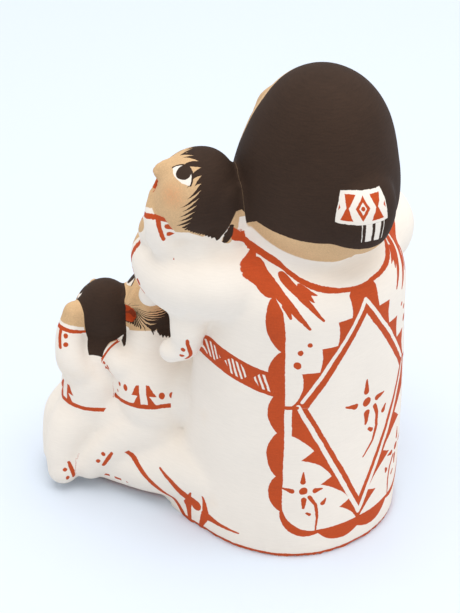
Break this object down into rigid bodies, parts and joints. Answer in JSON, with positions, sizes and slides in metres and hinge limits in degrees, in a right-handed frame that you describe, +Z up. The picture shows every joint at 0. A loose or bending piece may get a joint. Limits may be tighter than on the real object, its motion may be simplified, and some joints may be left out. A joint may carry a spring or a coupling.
{
  "type": "pueblo storyteller figure",
  "caption": "Seated storyteller figure in painted fired clay, singing, with small children leaning on its arm, lap and leg.",
  "frame": {"origin": "on the flat underside, below the storyteller's head", "axes": "+Z up, the storyteller faces -Y and its left side, with the children, is +X"},
  "size_m": [0.1487, 0.1273, 0.1959],
  "materials": {
    "painted_clay": "matt cream slip over fired clay, painted in red, dark brown and tan"
  },
  "bodies": {
    "root": {"storyteller_figure": "painted_clay"}
  },
  "joints": []
}
